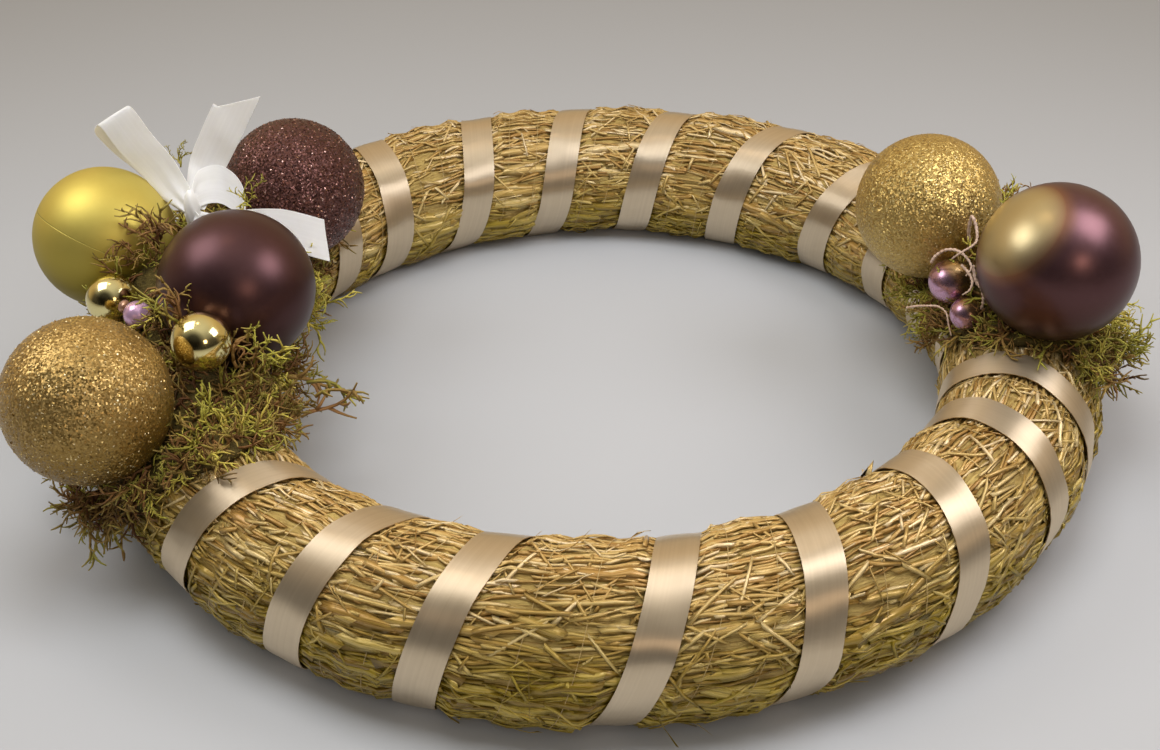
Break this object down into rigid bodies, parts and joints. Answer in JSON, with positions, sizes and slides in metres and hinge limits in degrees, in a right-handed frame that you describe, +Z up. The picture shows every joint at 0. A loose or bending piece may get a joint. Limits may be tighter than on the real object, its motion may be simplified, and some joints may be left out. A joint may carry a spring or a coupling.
{
  "type": "straw wreath",
  "caption": "Round bound-straw wreath wound with satin ribbon, with two moss posies of baubles and beads on its rim, one tied with a white satin bow.",
  "frame": {"origin": "centre of the part's box, on the surface the wreath lies on", "axes": "+Z up, out of the lying ring; +X from the larger posy, with the bow, to the smaller one"},
  "size_m": [0.438, 0.4062, 0.1336],
  "materials": {
    "straw": "glossy chopped straw, bound with fine thread",
    "champagne_satin": "satin ribbon",
    "white_satin": "satin ribbon",
    "moss": "dried moss strands",
    "gold_glitter": "gold glitter",
    "brown_glitter": "burgundy-brown glitter",
    "lime_satin": "satin metallic",
    "plum_satin": "satin metallic",
    "gold_mirror": "mirror metallic",
    "lilac_pearl": "pearl",
    "mauve_mirror": "mirror metallic"
  },
  "bodies": {
    "root": {"straw_ring": "straw", "satin_ribbon": "champagne_satin", "moss_left": "moss", "moss_right": "moss", "glitter_ball_left": "gold_glitter", "lime_ball": "lime_satin", "plum_ball_left": "plum_satin", "brown_glitter_ball": "brown_glitter", "glitter_ball_right": "gold_glitter", "plum_ball_right": "plum_satin", "gold_bead_inner": "gold_mirror", "gold_bead_outer": "gold_mirror", "lilac_bead": "lilac_pearl", "mauve_bead": "mauve_mirror", "mauve_bead_small": "mauve_mirror", "bow": "white_satin"}
  },
  "joints": []
}
